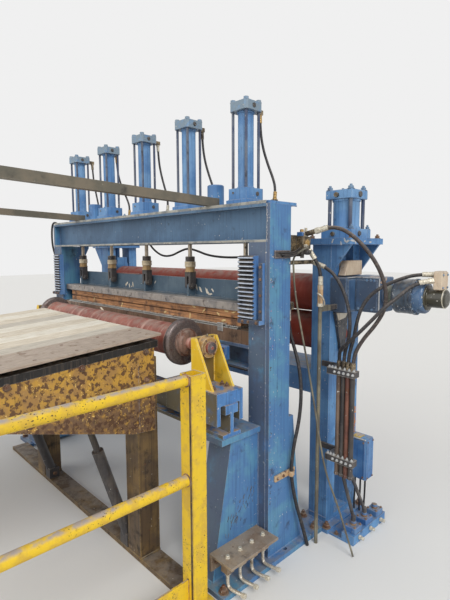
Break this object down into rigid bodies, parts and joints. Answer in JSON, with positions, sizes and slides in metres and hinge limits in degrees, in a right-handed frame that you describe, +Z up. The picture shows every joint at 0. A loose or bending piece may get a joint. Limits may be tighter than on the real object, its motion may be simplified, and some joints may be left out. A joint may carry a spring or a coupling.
{
  "type": "entry tension press and pinch roll stand of a slitting line",
  "caption": "Pad press stand with a row of tie-rod cylinders, pass roll, sloping feed table, guard rail and a pinch roll stand, from the entry of a slitting line.",
  "frame": {"origin": "on the floor, under the row of press cylinders, midway between the columns", "axes": "+X across the line to the operator's side, +Y downstream, +Z up"},
  "size_m": [3.253, 2.805, 2.409],
  "materials": {
    "frame_blue": "worn satin paint",
    "crown_blue": "worn satin paint",
    "cylinder_blue": "satin paint",
    "beam_slate": "worn satin paint",
    "pad_wood": "scuffed bare wood",
    "deck_wood": "worn bare planks",
    "deck_steel": "dirty worn steel",
    "rod_steel": "bright steel with oil",
    "roll_red": "scored and rusty",
    "roll_brick": "matte covering on a steel roll",
    "flange_steel": "bare worn steel",
    "safety_yellow": "chipped gloss paint",
    "table_yellow": "flaking paint over rust",
    "post_brown": "grimy paint",
    "saddle_blue": "worn paint with dirt",
    "dark_steel": "oily dark steel",
    "hose_black": "dull rubber",
    "fitting_steel": "plated fittings"
  },
  "bodies": {
    "frame": {"arch_hose": "hose_black", "balance_cans": "cylinder_blue", "base_plates": "frame_blue", "bed_beam": "beam_slate", "column_hose": "hose_black", "cross_rail": "saddle_blue", "crown_channels": "crown_blue", "crown_plate": "crown_blue", "cylinder_1_hose": "hose_black", "cylinder_2_hose": "hose_black", "cylinder_3_hose": "hose_black", "cylinder_4_hose": "hose_black", "cylinder_5_hose": "hose_black", "cylinder_fittings": "fitting_steel", "drive_case": "frame_blue", "drive_motor": "cylinder_blue", "drop_pipes": "dark_steel", "far_column": "frame_blue", "far_housing": "frame_blue", "floor_manifold": "saddle_blue", "guard_rail": "safety_yellow", "hose_fittings": "fitting_steel", "junction_box": "saddle_blue", "leg_manifold": "post_brown", "legs": "frame_blue", "lower_chocks": "beam_slate", "lower_pad_strip": "rod_steel", "lower_platen": "beam_slate", "lower_wood_pad": "pad_wood", "motor_lower_hose": "hose_black", "motor_upper_hose": "hose_black", "near_column": "frame_blue", "near_housing": "frame_blue", "overhead_bars": "dark_steel", "pinch_cylinders": "cylinder_blue", "pipe_bank": "dark_steel", "port_hose": "hose_black", "press_cylinders": "cylinder_blue", "racks": "frame_blue", "rear_hose": "hose_black", "roll_brackets": "safety_yellow", "saddles": "saddle_blue", "sleeve_hose": "hose_black", "stand_beam": "frame_blue", "table_deck": "deck_wood", "table_frame": "table_yellow", "table_posts": "post_brown", "table_side_deck": "deck_steel", "table_struts": "dark_steel"},
    "press_beam_body": {"press_beam": "beam_slate", "upper_wood_pad": "pad_wood", "press_rods": "rod_steel", "rod_clevises": "dark_steel"},
    "pass_roll_body": {"pass_roll": "roll_red", "pass_roll_flanges": "flange_steel"},
    "upper_pinch_body": {"upper_chocks": "post_brown"},
    "upper_roll_body": {"upper_pinch_roll": "roll_brick"},
    "lower_roll_body": {"lower_pinch_roll": "roll_brick"}
  },
  "joints": [
    {"name": "press_beam_lift", "type": "slide", "parent": "frame", "child": "press_beam_body", "axis": [0, 0, 1], "range_m": [0, 0.06]},
    {"name": "pass_roll_spin", "type": "hinge", "parent": "frame", "child": "pass_roll_body", "pos_m": [0, -0.322, 1.14], "axis": [1, 0, 0], "continuous": true},
    {"name": "upper_pinch_lift", "type": "slide", "parent": "frame", "child": "upper_pinch_body", "axis": [0, 0, 1], "range_m": [0, 0.04]},
    {"name": "upper_roll_spin", "type": "hinge", "parent": "upper_pinch_body", "child": "upper_roll_body", "pos_m": [0, 0.5, 1.368], "axis": [1, 0, 0], "continuous": true},
    {"name": "lower_roll_spin", "type": "hinge", "parent": "frame", "child": "lower_roll_body", "pos_m": [0, 0.5, 1.136], "axis": [1, 0, 0], "continuous": true}
  ]
}
